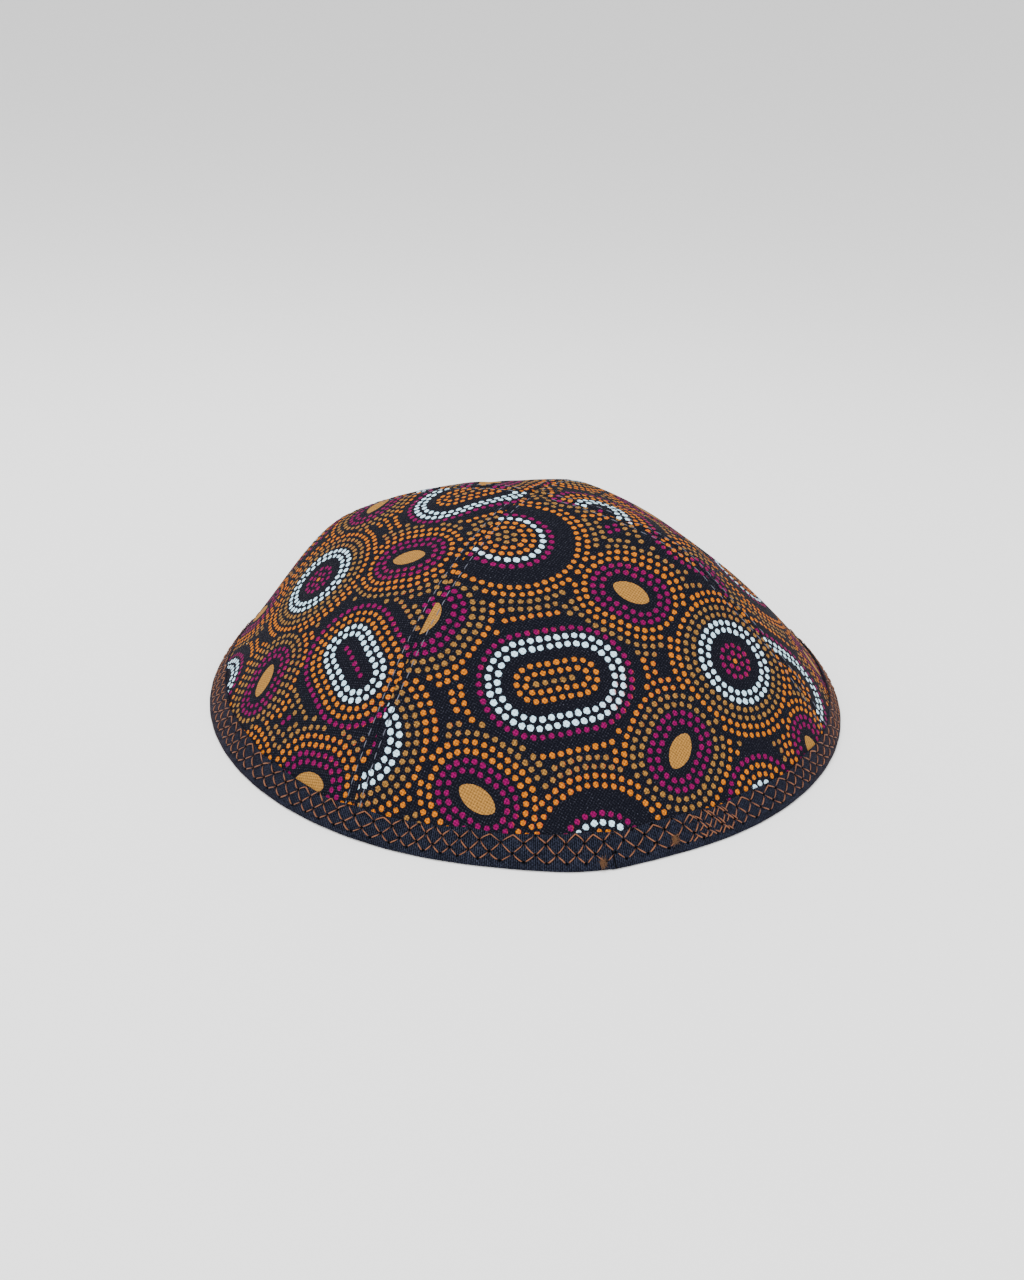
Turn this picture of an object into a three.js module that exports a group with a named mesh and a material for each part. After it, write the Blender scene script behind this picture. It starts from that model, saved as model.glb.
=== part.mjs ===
// A round skullcap: four printed cotton crown panels and a woven tape folded over their lower edge.
// Millimetres, +Z up. The origin is the centre of the rim, on the plane that the rim rests on.
// Azimuth is measured from -Y towards +X. The front panel is centred on -Y.

import * as THREE from 'three';

// Sizes of the whole cap
const RIM_RADIUS = 87; // outer face of the tape, at the resting edge
const CROWN_HEIGHT = 52; // outer face of the cloth at the top, over the resting plane

// Cloth and tape
const CLOTH_WALL = 1.2; // printed cotton with its facing
const TAPE_WALL = 0.8; // one thickness of the folded tape
const TAPE_HEIGHT_OUTSIDE = 5.8; // resting plane to the tape's upper edge, outside
const TAPE_HEIGHT_INSIDE = 5.4; // the same, inside
const FOLD_CLEARANCE = 0.3; // cloth to tape, on each side and below
const SEAM_GAP = 0.3; // panel to panel along a seam
const APEX_OPENING = 1.0; // radius where the four panels' points meet
const REST_EDGE_ROUND = 0.6; // bevel on both corners of the tape's fold

// Form of the crown
const PROFILE_RADIUS_POWER = 2.14; // the profile over a seam is a superellipse in radius and height
const PROFILE_HEIGHT_POWER = 1.14;
const PANEL_FLATNESS = 0.59; // how far a level section at the top goes from a circle to straight sides
const SEAM_SOFTNESS = 1.25; // 1 gives sharp seam ridges, 2 gives round ones
const APEX_LEAN_X = -0.7; // how far the top has settled sideways

// Where the soft crown stands proud of its even form
const SWELLS = [
  { azimuthDeg: -136, heightShare: 0.59, proud: 4.7, spreadDeg: 34, spreadShare: 0.26 },
  { azimuthDeg: 48, heightShare: 0.84, proud: 3.4, spreadDeg: 27, spreadShare: 0.12 },
];

// Panels in order, each a quarter turn on from the last
const PANEL_SIDES = ['front', 'right', 'back', 'left'];

// Fineness of the faceted faces
const STEPS_ACROSS_PANEL = 16;
const STEPS_DOWN_PANEL = 18;
const STEPS_UP_TAPE = 3;

// Worked out from the sizes above
const PANEL_ANGLE = (2 * Math.PI) / PANEL_SIDES.length;
const CLOTH_RIM_RADIUS = RIM_RADIUS - TAPE_WALL - FOLD_CLEARANCE;
const CLOTH_EDGE_HEIGHT = TAPE_WALL + FOLD_CLEARANCE;
const OFFSET_CLOTH_INNER = -CLOTH_WALL;
const OFFSET_TAPE_OUTER = FOLD_CLEARANCE + TAPE_WALL;
const OFFSET_TAPE_LINING = -CLOTH_WALL - FOLD_CLEARANCE;
const OFFSET_TAPE_INNER = OFFSET_TAPE_LINING - TAPE_WALL;

const clothMaterial = new THREE.MeshStandardMaterial({ color: 0x1a1b26, roughness: 0.92, metalness: 0 });
const tapeMaterial = new THREE.MeshStandardMaterial({ color: 0x24201f, roughness: 0.95, metalness: 0 });

// Share of the full radius that a level section has at an azimuth: 1 on the seams, less between them
function sectionShare(azimuth, heightShare) {
  const fromMiddle = azimuth - Math.round(azimuth / PANEL_ANGLE) * PANEL_ANGLE;
  const betweenSeams = Math.max(Math.cos((Math.PI * fromMiddle) / PANEL_ANGLE), 0) ** SEAM_SOFTNESS;
  return 1 - PANEL_FLATNESS * heightShare * (1 - Math.cos(PANEL_ANGLE / 2)) * betweenSeams;
}

// How far the cloth stands proud at an azimuth and height share, fading to nothing at the apex
function swellAt(azimuth, heightShare) {
  const fade = Math.sqrt(1 - heightShare * heightShare);
  let proud = 0;
  for (const swell of SWELLS) {
    const turn = THREE.MathUtils.radToDeg(azimuth) - swell.azimuthDeg;
    const away = THREE.MathUtils.euclideanModulo(turn + 180, 360) - 180;
    const across = (away / swell.spreadDeg) ** 2;
    const upward = ((heightShare - swell.heightShare) / swell.spreadShare) ** 2;
    proud += swell.proud * fade * Math.exp(-across - upward);
  }
  return proud;
}

// Radius over a seam at a profile angle, which runs from 0 at the top to a quarter turn at the rim
function seamRadius(profileAngle, offset) {
  return (CLOTH_RIM_RADIUS + offset) * Math.sin(profileAngle) ** (2 / PROFILE_RADIUS_POWER);
}

// Point on the crown's form, moved outwards by offset
function crownPoint(azimuth, profileAngle, offset) {
  const heightShare = Math.max(Math.cos(profileAngle), 0) ** (2 / PROFILE_HEIGHT_POWER);
  const proud = swellAt(azimuth, heightShare);
  const outward = Math.sqrt(1 - heightShare * heightShare);
  const radius = seamRadius(profileAngle, offset) * sectionShare(azimuth, heightShare) + proud * outward;
  const height = (CROWN_HEIGHT + offset) * heightShare + proud * heightShare;
  return new THREE.Vector3(
    radius * Math.sin(azimuth) + APEX_LEAN_X * heightShare,
    -radius * Math.cos(azimuth),
    height,
  );
}

// Profile angle at which the form, moved outwards by offset, is at a height
function angleAtHeight(height, offset) {
  return Math.acos((height / (CROWN_HEIGHT + offset)) ** (PROFILE_HEIGHT_POWER / 2));
}

function geometryFrom(points, triangles) {
  const geometry = new THREE.BufferGeometry();
  geometry.setAttribute('position', new THREE.Float32BufferAttribute(points.flatMap((p) => p.toArray()), 3));
  geometry.setIndex(triangles);
  geometry.computeVertexNormals();
  return geometry;
}

// Closed cloth wall between an outer and an inner grid of points, each given by row and column
function clothWall(rows, columns, outerPoint, innerPoint) {
  const points = [];
  const triangles = [];
  for (const pointAt of [outerPoint, innerPoint]) {
    for (let row = 0; row <= rows; row += 1) {
      for (let column = 0; column <= columns; column += 1) points.push(pointAt(row, column));
    }
  }
  const sideCount = (rows + 1) * (columns + 1);
  const outer = (row, column) => row * (columns + 1) + column;
  const inner = (row, column) => sideCount + outer(row, column);
  const quad = (a, b, c, d) => triangles.push(a, b, c, a, c, d);
  for (let row = 0; row < rows; row += 1) {
    for (let column = 0; column < columns; column += 1) {
      quad(outer(row, column), outer(row + 1, column), outer(row + 1, column + 1), outer(row, column + 1));
      quad(inner(row, column), inner(row, column + 1), inner(row + 1, column + 1), inner(row + 1, column));
    }
    quad(outer(row, 0), inner(row, 0), inner(row + 1, 0), outer(row + 1, 0));
    quad(outer(row, columns), outer(row + 1, columns), inner(row + 1, columns), inner(row, columns));
  }
  for (let column = 0; column < columns; column += 1) {
    quad(outer(0, column), outer(0, column + 1), inner(0, column + 1), inner(0, column));
    quad(outer(rows, column), inner(rows, column), inner(rows, column + 1), outer(rows, column + 1));
  }
  return geometryFrom(points, triangles);
}

// One crown panel: a curved triangle from the apex to its edge inside the folded tape
function crownPanel(side, index) {
  const middle = index * PANEL_ANGLE;
  const pointOn = (offset) => (row, column) => {
    const highest = Math.asin((APEX_OPENING / CLOTH_RIM_RADIUS) ** (PROFILE_RADIUS_POWER / 2));
    const lowest = angleAtHeight(CLOTH_EDGE_HEIGHT, offset);
    const profileAngle = THREE.MathUtils.lerp(highest, lowest, row / STEPS_DOWN_PANEL);
    const halfAngle = PANEL_ANGLE / 2 - Math.asin(SEAM_GAP / 2 / seamRadius(profileAngle, offset));
    const across = (2 * column) / STEPS_ACROSS_PANEL - 1;
    return crownPoint(middle + across * halfAngle, profileAngle, offset);
  };
  const geometry = clothWall(STEPS_DOWN_PANEL, STEPS_ACROSS_PANEL, pointOn(0), pointOn(OFFSET_CLOTH_INNER));
  const mesh = new THREE.Mesh(geometry, clothMaterial);
  mesh.name = `crown_panel_${side}`;
  return mesh;
}

// Section of the folded tape, as heights and offsets from the crown's form, round from the outer face
function tapeSection() {
  const leg = (offset, from, to) => {
    const places = [];
    for (let step = 0; step <= STEPS_UP_TAPE; step += 1) {
      places.push({ offset, height: THREE.MathUtils.lerp(from, to, step / STEPS_UP_TAPE) });
    }
    return places;
  };
  return [
    ...leg(OFFSET_TAPE_OUTER, REST_EDGE_ROUND, TAPE_HEIGHT_OUTSIDE),
    ...leg(FOLD_CLEARANCE, TAPE_HEIGHT_OUTSIDE, TAPE_WALL),
    ...leg(OFFSET_TAPE_LINING, TAPE_WALL, TAPE_HEIGHT_INSIDE),
    ...leg(OFFSET_TAPE_INNER, TAPE_HEIGHT_INSIDE, REST_EDGE_ROUND),
    { offset: OFFSET_TAPE_INNER + REST_EDGE_ROUND, height: 0 },
    { offset: OFFSET_TAPE_OUTER - REST_EDGE_ROUND, height: 0 },
  ];
}

// The tape's ring, with a station at each column of the panels
function rimBinding() {
  const stations = PANEL_SIDES.length * STEPS_ACROSS_PANEL;
  const section = tapeSection();
  const points = [];
  const triangles = [];
  for (let station = 0; station < stations; station += 1) {
    const azimuth = (2 * Math.PI * station) / stations;
    for (const { offset, height } of section) {
      points.push(crownPoint(azimuth, angleAtHeight(height, offset), offset));
    }
  }
  for (let station = 0; station < stations; station += 1) {
    const here = station * section.length;
    const next = ((station + 1) % stations) * section.length;
    for (let place = 0; place < section.length; place += 1) {
      const after = (place + 1) % section.length;
      triangles.push(here + place, next + place, next + after);
      triangles.push(here + place, next + after, here + after);
    }
  }
  const mesh = new THREE.Mesh(geometryFrom(points, triangles), tapeMaterial);
  mesh.name = 'rim_binding';
  return mesh;
}

const skullcap = new THREE.Group();
skullcap.name = 'skullcap';
skullcap.add(...PANEL_SIDES.map(crownPanel), rimBinding());

export default skullcap;
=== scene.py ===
"""A round skullcap: four printed cotton panels, topstitched seams and a stitched tape folded over the rim.

Lengths are metres and +Z is up. The origin is the centre of the rim, on the plane that the rim rests on.
Azimuth is measured from -Y towards +X, and the front panel is centred on -Y.
"""

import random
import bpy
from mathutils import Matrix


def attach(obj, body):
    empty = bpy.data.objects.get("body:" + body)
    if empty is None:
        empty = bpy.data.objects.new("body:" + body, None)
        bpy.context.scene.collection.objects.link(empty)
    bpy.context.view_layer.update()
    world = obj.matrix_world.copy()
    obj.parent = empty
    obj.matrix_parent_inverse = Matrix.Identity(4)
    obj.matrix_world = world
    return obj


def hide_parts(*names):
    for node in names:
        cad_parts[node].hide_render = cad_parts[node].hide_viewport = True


bl_info = {
    "name": "Printed skullcap",
    "version": (1, 0, 0),
    "blender": (4, 5, 0),
    "location": "3D View > Sidebar > Skullcap",
    "description": "Makes a round skullcap of printed cotton panels with a stitched tape round its rim",
    "category": "Add Mesh",
}

from math import asin, atan2, cos, hypot, pi, radians, sin, tau

import bpy
import numpy as np
from mathutils import Matrix, Vector
from mathutils.geometry import delaunay_2d_cdt

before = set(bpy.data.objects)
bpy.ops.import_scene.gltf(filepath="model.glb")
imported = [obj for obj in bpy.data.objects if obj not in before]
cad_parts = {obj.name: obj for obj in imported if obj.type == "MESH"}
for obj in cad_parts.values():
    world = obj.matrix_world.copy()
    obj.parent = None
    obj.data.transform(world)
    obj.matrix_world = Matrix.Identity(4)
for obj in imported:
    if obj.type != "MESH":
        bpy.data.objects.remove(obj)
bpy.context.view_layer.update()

MM = 0.001
PER_METRE = 1000  # millimetres


def table(columns, *rows):
    """A short table as a list with a dictionary for each row."""
    names = columns.split()
    return [dict(zip(names, row)) for row in rows]


# Form of the crown, as the solids have it, but for the last swell, a slack place in the rim
RIM_RADIUS = 87 * MM
CROWN_HEIGHT = 52 * MM
CLOTH_WALL = 1.2 * MM
CLOTH_RIM_RADIUS = 85.9 * MM
PROFILE_RADIUS_POWER = 2.14
PROFILE_HEIGHT_POWER = 1.14
PANEL_FLATNESS = 0.59
SEAM_SOFTNESS = 1.25
APEX_LEAN_X = -0.7 * MM
SWELLS = table(
    "azimuth height_share proud spread spread_share",
    (radians(-136), 0.59, 4.7 * MM, radians(34), 0.26),
    (radians(48), 0.84, 3.4 * MM, radians(27), 0.12),
    (radians(-9.6), 0, 1.4 * MM, radians(9.2), 0.18),
)
PANEL_ANGLE = pi / 2
PANEL_SIDES = ("front", "right", "back", "left")

# How the cloth lies on that form
CLOTH_PROUD = 0.6 * MM  # outer face of the cloth, outside the solids' outer face
POINT_BLUNTNESS = 0.2 * MM  # the panels' points stop this far from where they would meet
SEAM_SLIT = 0.05 * MM  # between two panels' folded edges
SEAM_FOLD_DEPTH = 0.3 * MM  # how far the edges turn in at the seam
SEAM_FOLD_REACH = 0.4 * MM
SEAM_ALLOWANCE = 6 * MM  # cloth pressed open behind the seam
ALLOWANCE_RISE = 0.3 * MM
ROW_FROM_SEAM = 1.7 * MM  # topstitching
CLOTH_EDGE_HEIGHT = 1.5 * MM  # lower edge, inside the folded tape
PATTERN_TURN = 0.9  # turn about the point on the flat pattern, as a share of the azimuth
PATTERN_START = 0.2 * MM  # radius at which the pattern begins
CLOTH_WAVE = 0.12 * MM  # height of the cloth's gentle waves, whose lengths are millimetres over tau
CLOTH_WAVES = table("share turns length phase", (1, 5, 9, 0), (0.8, 9, -13, 1.3), (0.6, 14, 6, 4.1))
PUCKER = 0.07 * MM  # how deep the seams pull the cloth into puckers
PUCKER_LENGTHS = (7.3, 4.9)  # of its two waves along the seam, in millimetres
PUCKER_REACH = 4 * MM
ALLOWANCE_STEP = 0.25 * MM  # how sharply the cloth sinks at the edge of the allowance
ALLOWANCE_START = 9 * MM  # the allowance begins to lift the cloth this far from the point
ALLOWANCE_SHOWN = 0.05 * MM  # how far it lifts the outer face
ROW_PRESSED = 0.1 * MM  # how deep the topstitching presses the cloth
ROW_WIDTH = 0.6 * MM

# Spacing of the points that carry a panel's curve
FILL_FROM_SEAM = (0.35, 0.8, 1.3, 1.7, 2.1, 2.8, 4.0, 5.4, 6.2)
FILL_STEP_AT_SEAM = 0.9 * MM
FILL_FIRST_AT_SEAM = 2.5 * MM
FILL_LEAST_AZIMUTH = 0.04
FILL_PAST_SEAM = 7.5 * MM  # the even spacing begins this far from the seam
FILL_STEP = 2.2 * MM
FILL_START = 10 * MM
OUTLINE_STEP = 1.0 * MM
LOWER_EDGE_STEPS = 96
SEARCH_CELL = 2 * MM
DOT_CLEARANCE = 1.15 * MM
DOT_HEXAGON = {"radii": 1.36, "most": 0.95}  # corners from the middle, in dot radii, and at most, in mm
DOT_MARGIN = 0.7 * MM  # a dot may stand this far past a panel's edge
LEAF_MARGIN = 3 * MM
EDGE_SLACK = 0.02 * MM  # triangles whose middles lie nearer the edge than this fall away

# Print: rows of dots round plain cores. Lengths on the cloth are millimetres
DOT_PITCH = 2.0
CLOTH_REPEAT = (92.0, 80.0)
INKS = {
    "o": {"name": "orange", "size": 1.02, "grain": 0.6},
    "m": {"name": "magenta", "size": 1.05, "grain": 0.7},
    "t": {"name": "tan", "size": 1.03, "grain": 1.0},
    "w": {"name": "white", "size": 1.13, "grain": 0.14},
}
MOTIFS = table(
    "x y half_length turn first_row yields leaf rows",
    (0, 0, 0, 0, 0, 0, 0, "ttoowm..oottmm.o"),
    (46, 40, 0, 0, 0, 1, 0, "omm.wwttoo..ttoo"),
    (46, 0, 5, 90, 0.1, 6, 0, "m.wwoom.ttoo.moo"),
    (0, 40, 5, 0, 0.1, 6, 0, "too.wwm.oott..mm"),
    (23, 21, 2.6, 40, 4.5, 7, 1, "mmoott..oottm.oo"),
    (69, 19, 2.6, -40, 4.5, 7, 1, "mmttoo.mtto..mtt"),
    (24, 60, 2.6, -50, 4.5, 7, 1, "mmttoo.mtto..mtt"),
    (68, 61, 2.6, 50, 4.5, 7, 1, "mmoott..oottm.oo"),
)
MOTIF_REACH = 35  # how far a motif's rows go
RIVAL_REACH = 75  # motifs this near share the cloth between them
DOT_PASSES = table("past_border least_gap", (0, 0.86 * DOT_PITCH), (1.4, 0.92 * DOT_PITCH))
DOT_STRAY = 0.07
DOT_SPREAD = (0.92, 1.06)  # least and greatest share of an ink's usual dot
DOT_CELL = 3
LEAF_CLEARANCE = 3.9
LEAF_STEPS = 9
LEAF_HALF_LENGTH = 4.6
LEAF_HALF_WIDTH = 2.5
NO_DOT = 9.0  # place on the dot's map where there is no dot, in dot radii
# Where each panel was cut from the cloth: shift in millimetres and turn in degrees
PANEL_CUTS = {
    "front": {"x": 12, "y": 58, "turn": 0},
    "right": {"x": 61, "y": 17, "turn": 90},
    "back": {"x": 30, "y": 75, "turn": 180},
    "left": {"x": 78, "y": 33, "turn": -90},
}

# Looks: relief of the weave and of the thread's plies, and colours that are not set in the sidebar
WEAVE_DEPTH = 0.15 * MM
PLY_DEPTH = 0.08 * MM
OVERPRINT = (0.45, 0.045, 0.015, 1)  # where two inks lie over each other
SEAM_SHADOW = (0.002, 0.002, 0.003, 1)
# painted shade in the tape's needle holes and in the crease at its join
HOLE_SHADOW = (0.001, 0.001, 0.001, 1)
FLOOR_COLOUR = (0.9, 0.9, 0.9, 1)

# Tape: heights over the resting plane and offsets from the crown's form
TAPE_TOP_OUTSIDE = 5.8 * MM
TAPE_TOP_INSIDE = 5.4 * MM
TAPE_FACE = 1.1 * MM
TAPE_LINING = 0.66 * MM  # the side of the tape that lies on the cloth
TAPE_INNER_LINING = -0.66 * MM
TAPE_INNER_FACE = -1.1 * MM
TAPE_EDGE = 0.9 * MM  # the top of the tape's edge, between its two faces
TAPE_ROW_STEP = 0.425 * MM
TAPE_RIB = 0.46  # spacing of the threads, in millimetres
TAPE_WEFT = 0.36
COLUMNS_PER_STATION = 4
STATION_DRIFT = 0.05  # in half pitches of the lattice, like the waves' shares
STATION_WAVES = table("share turns phase", (0.35, 7, 1), (0.3, 17, 0))
TAPE_FOLD_STEPS = 8
TAPE_INNER_ROWS = 7
TAPE_LINING_HEIGHTS = (3.5 * MM, 1.3 * MM)
TAPE_LINING_FOLD = 0.75 * MM  # height of the fold's inner side
TAPE_LINING_ROUND = 0.35 * MM
EDGE_RISE = {"outside": 0.16 * MM, "inside": 0.14 * MM}  # the rounded edges over the needle rows
TAPE_RIPPLE = {"depth": 0.05 * MM, "turns": 57}

# Stage: flat under the cap, then curving up on all sides
FLOOR_RADIUS = 3.2
FLAT_FLOOR_RADIUS = 0.5
FLOOR_CURVE = 0.16
FLOOR_RINGS = 24

# Lattice of stitches: needle rows on the tape, from its upper edge down
NEEDLE_ROWS = (5.8 * MM, 4.525 * MM, 2.825 * MM, 1.55 * MM)
PEAK_STRAY = (-0.1, 0.35)  # how far the lattice's peaks stand past the tape's edge, in millimetres
PEAK_GAPS = {"joined": 0.02 * MM, "apart": 0.1 * MM}  # from a peak's middle to the stitch on each side
FOOT_GAP = 0.12 * MM
BOW_SPREAD = (0.1, 1.6)  # least and greatest share of a usual bow
THREAD_SPREAD = (0.8, 1.12)
PEAKS_JOINED = 0.6  # share of the uppermost pairs of stitches that meet in one bend
HOLE_SHARE = 0.085  # of the way from hole to hole, left bare at each end of a stitch
STITCH_DIP = 0.26 * MM  # how far the ends of a stitch go down into the tape
LEG_POINTS = 7
LEG_LIFT = (0.4, 0.6)  # least and greatest rise of a stitch over the tape, in thread widths
OVER_TAPE = 0.08 * MM
UNDER_TAPE = 0.04 * MM
THREAD_END = 0.45  # width of a stitch at its ends, as a share
INSIDE_WIDTH = 0.8
STITCH_BOWS = (0.34 * MM, 0.1 * MM, 0.2 * MM)  # sideways, row by row
DOUBLED_STRETCH = (radians(4.0), radians(12.0))  # where one run of the stitching lies over the other
DOUBLED_WIDTH = 0.88
DOUBLED_SLIP = (0.9, 1.25)  # least and greatest shift along the rim, in millimetres
DOUBLED_RISE = (-0.45, 0.1)  # the same up the tape
TUFTS = table(
    "azimuth height turn",
    (radians(-8.3), 1.9 * MM, radians(-20)),
    (radians(3.0), 3.2 * MM, radians(-35)),
)
TUFT_FIBRES = 130
FIBRE_POINTS = 5
# One fibre: spread of its direction and greatest curl in radians, the rest in millimetres
FIBRE = {"turn": 0.5, "curl": 1.5, "lift": (0.1, 0.7), "width": (0.035, 0.06), "end": 0.02}
FIBRE_LENGTH = (0.4, 1.6, 0.9)  # least, greatest and usual, in millimetres
TUFT_SPREAD = (0.24, 0.15)  # along the tape and up it, in millimetres
TAPE_JOIN = {"azimuth": radians(-6.8), "overlap": 7 * MM, "step": 0.22 * MM}
TAPE_END_ALONG = (tau + TAPE_JOIN["azimuth"]) * RIM_RADIUS / MM  # the join on the tape's map
HALF_PITCH_MM = 2.17  # from a hole to the next hole of the row below, along the rim
ROW_SLANT_MM = 1.75  # usual height of a row
INSIDE_STITCH_DROP = 0.35 * MM
NEEDLE_STRAY = 0.1 * MM
# How the tape sinks at a needle hole; the half pitch and the reach along the rim in millimetres
NEEDLE_DIMPLE = {"depth": 0.34 * MM, "half_pitch": 2.15, "along": 0.5, "down": 0.4 * MM}
TAPE_PUFF = 0.1 * MM  # how far the tape bulges between its edge and its fold
EDGE_WAVES = table("height turns phase", (0.16 * MM, 23, 0), (0.1 * MM, 41, 2), (0.1 * MM, 9, 0))
SEAM_THREAD = {"width": 0.24 * MM, "end": 0.12 * MM, "gap": 0.45 * MM, "stray": 0.08 * MM}
SEAM_STITCH_POINTS = 5
SEAM_STITCH_SPREAD = (0.9, 1.12)  # least and greatest share of a usual length
SEAM_STITCH_DIP = 0.12 * MM
SEAM_STITCH_RISE = 0.17 * MM
SEAM_THREAD_START = 4 * MM  # from the panels' point, and from their lower edge

# Light and camera
LIGHTS = table(
    "name place size energy",
    ("soft_top", (-0.15, 0.1, 1.0), 0.9, 14),
    ("soft_left", (-0.9, -0.5, 0.6), 0.7, 3),
    ("soft_front", (0.2, -1.0, 0.5), 0.7, 5),
)
WORLD_STRENGTH = 1.25
CAMERA = {
    "azimuth": radians(-19.3),
    "elevation": radians(28.23),
    "distance": 269.7 * MM,
    "roll": radians(2.07),
    "lens": 26.47,
    "shift_x": -0.0114,
    "shift_y": 0.0233,
}


def seam_radius(profile_angle, offset=0):
    """Radius over a seam at profile angles, on the form moved outwards by offset."""
    return (CLOTH_RIM_RADIUS + offset) * np.sin(profile_angle) ** (2 / PROFILE_RADIUS_POWER)


def crown_points(azimuth, profile_angle, offset):
    """Points on the cap's form, moved outwards by offset, as an array with a row for each."""
    azimuth = np.asarray(azimuth, dtype=float)
    height_share = np.maximum(np.cos(profile_angle), 0) ** (2 / PROFILE_HEIGHT_POWER)
    from_middle = azimuth - np.round(azimuth / PANEL_ANGLE) * PANEL_ANGLE
    between_seams = np.maximum(np.cos(pi * from_middle / PANEL_ANGLE), 0) ** SEAM_SOFTNESS
    section = 1 - PANEL_FLATNESS * height_share * (1 - cos(PANEL_ANGLE / 2)) * between_seams
    outward = np.sqrt(1 - height_share**2)
    proud = 0
    for swell in SWELLS:
        away = (azimuth - swell["azimuth"] + pi) % tau - pi
        across = (away / swell["spread"]) ** 2
        upward = ((height_share - swell["height_share"]) / swell["spread_share"]) ** 2
        proud = proud + swell["proud"] * outward * np.exp(-across - upward)
    radius = seam_radius(profile_angle, offset) * section + proud * outward
    return np.stack(
        (
            radius * np.sin(azimuth) + APEX_LEAN_X * height_share,
            -radius * np.cos(azimuth),
            (CROWN_HEIGHT + offset) * height_share + proud * height_share,
        ),
        axis=-1,
    )


def angle_at_radius(radius):
    """Profile angle at a radius over a seam."""
    return np.arcsin((radius / CLOTH_RIM_RADIUS) ** (PROFILE_RADIUS_POWER / 2))


def angle_at_height(height, offset):
    """Profile angle at a height on the form moved outwards by offset."""
    return np.arccos((height / (CROWN_HEIGHT + offset)) ** (PROFILE_HEIGHT_POWER / 2))


class PanelPattern:
    """A panel's flat pattern, in metres: distance along the cloth from its point, and turn about it."""

    def __init__(self, middle):
        self.middle = middle
        self.turns = np.linspace(-PANEL_ANGLE / 2, PANEL_ANGLE / 2, 37)
        first = angle_at_radius(PATTERN_START)
        last = angle_at_height(CLOTH_EDGE_HEIGHT, 0)
        angles = np.linspace(first, last, 240)
        columns = []
        for turn in self.turns:
            points = crown_points(middle + turn, angles, 0)
            steps = np.linalg.norm(np.diff(points, axis=0), axis=1)
            columns.append(PATTERN_START + np.concatenate(((0,), np.cumsum(steps))))
        self.edge = np.array([column[-1] for column in columns])
        self.reach = self.edge.max()
        self.distances = np.linspace(0, self.reach, 260)
        self.angles = np.array([np.interp(self.distances, column, angles) for column in columns])

    def edge_distance(self, azimuth):
        """Distance from the point to the lower edge, at an azimuth from the panel's middle."""
        return np.interp(azimuth, self.turns, self.edge)

    def holds(self, x, y, past):
        """Whether a flat place lies on the panel, or at most a distance past its edge."""
        distance = hypot(x, y)
        turn = abs(atan2(x, y))
        widest = PANEL_ANGLE / 2 * PATTERN_TURN
        if turn > widest + past / max(distance, 1e-6):
            return False
        azimuth = min(turn, widest) / PATTERN_TURN
        return distance < float(self.edge_distance(azimuth if x > 0 else -azimuth)) + past

    def lift(self, x, y):
        """Azimuth and profile angle on the crown of flat places, with y down from the point."""
        distance = np.hypot(x, y)
        azimuth = np.clip(np.arctan2(x, y) / PATTERN_TURN, -PANEL_ANGLE / 2, PANEL_ANGLE / 2)
        column = (azimuth - self.turns[0]) / (self.turns[1] - self.turns[0])
        left = np.clip(column.astype(int), 0, len(self.turns) - 2)
        share = column - left
        row = np.clip(distance / self.reach * (len(self.distances) - 1), 0, len(self.distances) - 1.001)
        above = row.astype(int)
        part = row - above
        at = self.angles
        near = at[left, above] * (1 - part) + at[left, above + 1] * part
        far = at[left + 1, above] * (1 - part) + at[left + 1, above + 1] * part
        return azimuth, near * (1 - share) + far * share


def distance_to_core(motif, x, y):
    """Distance of a place on the cloth from a motif's core, which is a straight line or a point."""
    turn = radians(motif["turn"])
    along = (x - motif["x"]) * cos(turn) + (y - motif["y"]) * sin(turn)
    across = -(x - motif["x"]) * sin(turn) + (y - motif["y"]) * cos(turn)
    beyond = max(abs(along) - motif["half_length"], 0)
    return hypot(beyond, across)


def off_core(motif, along, across):
    """Place on the cloth at distances along and across a motif's core."""
    turn = radians(motif["turn"])
    return (
        motif["x"] + along * cos(turn) - across * sin(turn),
        motif["y"] + along * sin(turn) + across * cos(turn),
    )


def place_on_row(motif, distance, share):
    """Place on the row that runs round a motif's core at a distance, at a share of its length."""
    half_length = motif["half_length"]
    straight = 2 * half_length
    bend = pi * distance
    run = share * 2 * (straight + bend)
    side = 1
    if run >= straight + bend:
        run -= straight + bend
        side = -1
    if run < straight:
        along, across = half_length - run, distance
    else:
        angle = (run - straight) / max(distance, 1e-9)
        along, across = -half_length - distance * sin(angle), distance * cos(angle)
    return off_core(motif, side * along, side * across)


def dots_on_row(motif, row, chance):
    """Places of the dots along one of a motif's rows, each a little astray."""
    distance = motif["first_row"] + row * DOT_PITCH
    count = max(1, round((4 * motif["half_length"] + tau * distance) / DOT_PITCH))
    start = chance.random()
    for i in range(count):
        x, y = place_on_row(motif, distance, (i + start) % count / count)
        x += chance.uniform(-DOT_STRAY, DOT_STRAY)
        y += chance.uniform(-DOT_STRAY, DOT_STRAY)
        yield x, y


def motifs_on_cloth(low, high):
    """Every repeat of the motifs whose rows can reach a box of the cloth."""
    reach = max(CLOTH_REPEAT)
    steps = []
    for axis, repeat in enumerate(CLOTH_REPEAT):
        first = int((low[axis] - reach) // repeat)
        last = int((high[axis] + reach) // repeat)
        steps.append(range(first, last + 1))
    placed = []
    for motif in MOTIFS:
        for i in steps[0]:
            for j in steps[1]:
                place = (motif["x"] + i * CLOTH_REPEAT[0], motif["y"] + j * CLOTH_REPEAT[1])
                if all(low[axis] - MOTIF_REACH < place[axis] < high[axis] + MOTIF_REACH for axis in (0, 1)):
                    placed.append({**motif, "x": place[0], "y": place[1]})
    return placed


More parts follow.
